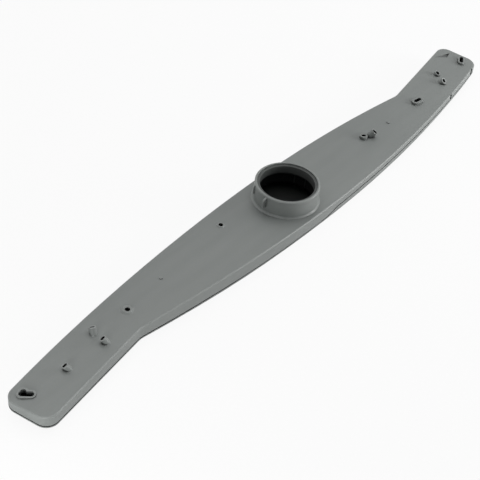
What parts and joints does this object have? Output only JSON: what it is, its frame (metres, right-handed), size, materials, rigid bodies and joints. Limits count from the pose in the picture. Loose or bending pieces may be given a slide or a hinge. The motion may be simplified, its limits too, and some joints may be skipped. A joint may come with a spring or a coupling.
{
  "type": "dishwasher spray arm",
  "caption": "Long flat hollow plastic spray arm with bent tips, a raised hub collar at its middle and small slanted water jets along its face.",
  "frame": {"origin": "on the hub collar's axis, at the flat middle of the underside", "axes": "+Z along the collar's axis, out of its mouth; X along the arm, +X towards the tip with the vertical slot; +Y towards the side on which the +X tip bends"},
  "size_m": [0.474, 0.0572, 0.0234],
  "materials": {
    "grey_plastic": "mid-grey moulded plastic, satin, with a very fine grain"
  },
  "bodies": {
    "root": {"upper_shell": "grey_plastic", "lower_shell": "grey_plastic"}
  },
  "joints": []
}
